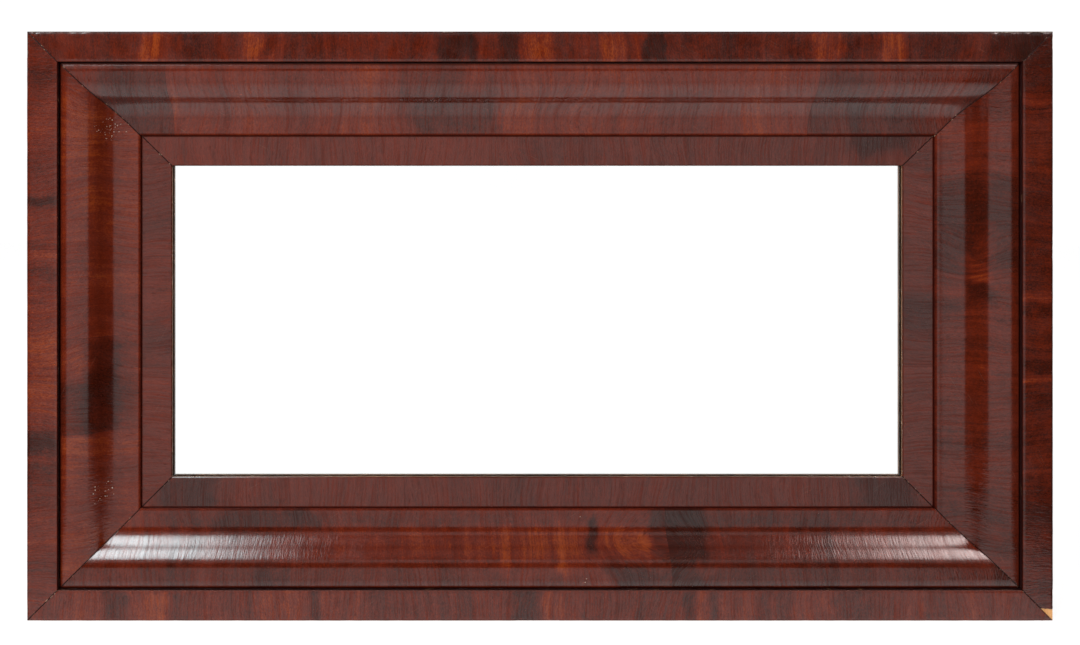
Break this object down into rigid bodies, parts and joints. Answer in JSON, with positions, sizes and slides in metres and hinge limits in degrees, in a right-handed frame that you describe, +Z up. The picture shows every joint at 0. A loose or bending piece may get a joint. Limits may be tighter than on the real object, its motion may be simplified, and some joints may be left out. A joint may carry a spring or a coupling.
{
  "type": "wall mirror",
  "caption": "Long low wall mirror: a wide ogee moulding in cross-grained mahogany veneer on a pine frame, with backboards and swinging ring hangers.",
  "frame": {"origin": "middle of the flat back face, which lies against the wall", "axes": "+X along the mirror's length, to the right as seen from the front; +Z up; the front faces -Y and +Y points into the wall"},
  "size_m": [0.914, 0.0627, 0.525],
  "materials": {
    "aged_pine": "bare old pine, browned",
    "peg_wood": "end grain of hardwood pegs",
    "stained_pine": "pine stained dark red-brown",
    "band_mahogany": "french-polished mahogany veneer",
    "core_pine": "bare pale pine",
    "ogee_mahogany": "french-polished figured mahogany veneer",
    "slip_mahogany": "french-polished mahogany veneer",
    "glass": "clear plate glass",
    "silvering": "mirror silvering with a dull backing coat",
    "board_pine": "sawn and planed pine boards",
    "nail_iron": "dull rusted iron",
    "strap_steel": "zinc-plated steel, dulled",
    "ring_steel": "zinc-plated steel wire",
    "screw_steel": "zinc-plated steel"
  },
  "bodies": {
    "frame": {"base_rail_top": "aged_pine", "base_rail_bottom": "aged_pine", "base_stile_left": "aged_pine", "base_stile_right": "aged_pine", "corner_pegs": "peg_wood", "band_core_top": "stained_pine", "band_core_bottom": "stained_pine", "band_core_left": "stained_pine", "band_core_right": "stained_pine", "band_veneer_top": "band_mahogany", "band_veneer_bottom": "band_mahogany", "band_veneer_left": "band_mahogany", "band_veneer_right": "band_mahogany", "ogee_core_top": "core_pine", "ogee_core_bottom": "core_pine", "ogee_core_left": "core_pine", "ogee_core_right": "core_pine", "ogee_veneer_top": "ogee_mahogany", "ogee_veneer_bottom": "ogee_mahogany", "ogee_veneer_left": "ogee_mahogany", "ogee_veneer_right": "ogee_mahogany", "slip_core_top": "core_pine", "slip_core_bottom": "core_pine", "slip_core_left": "core_pine", "slip_core_right": "core_pine", "slip_veneer_top": "slip_mahogany", "slip_veneer_bottom": "slip_mahogany", "slip_veneer_left": "slip_mahogany", "slip_veneer_right": "slip_mahogany", "mirror_glass": "glass", "mirror_silvering": "silvering", "glass_blocks": "core_pine", "backboard_upper": "board_pine", "backboard_lower": "board_pine", "backboard_nails": "nail_iron", "hanger_strap_left": "strap_steel", "hanger_screws_left": "screw_steel", "hanger_strap_right": "strap_steel", "hanger_screws_right": "screw_steel"},
    "ring_left": {"hanger_ring_left": "ring_steel"},
    "ring_right": {"hanger_ring_right": "ring_steel"}
  },
  "joints": [
    {"name": "ring_left_swing", "type": "hinge", "parent": "frame", "child": "ring_left", "pos_m": [-0.387, 0.00208, 0.112], "axis": [0, 0, 1], "range_deg": [0, 174]},
    {"name": "ring_right_swing", "type": "hinge", "parent": "frame", "child": "ring_right", "pos_m": [0.387, 0.00208, 0.112], "axis": [0, 0, -1], "range_deg": [0, 174]}
  ]
}
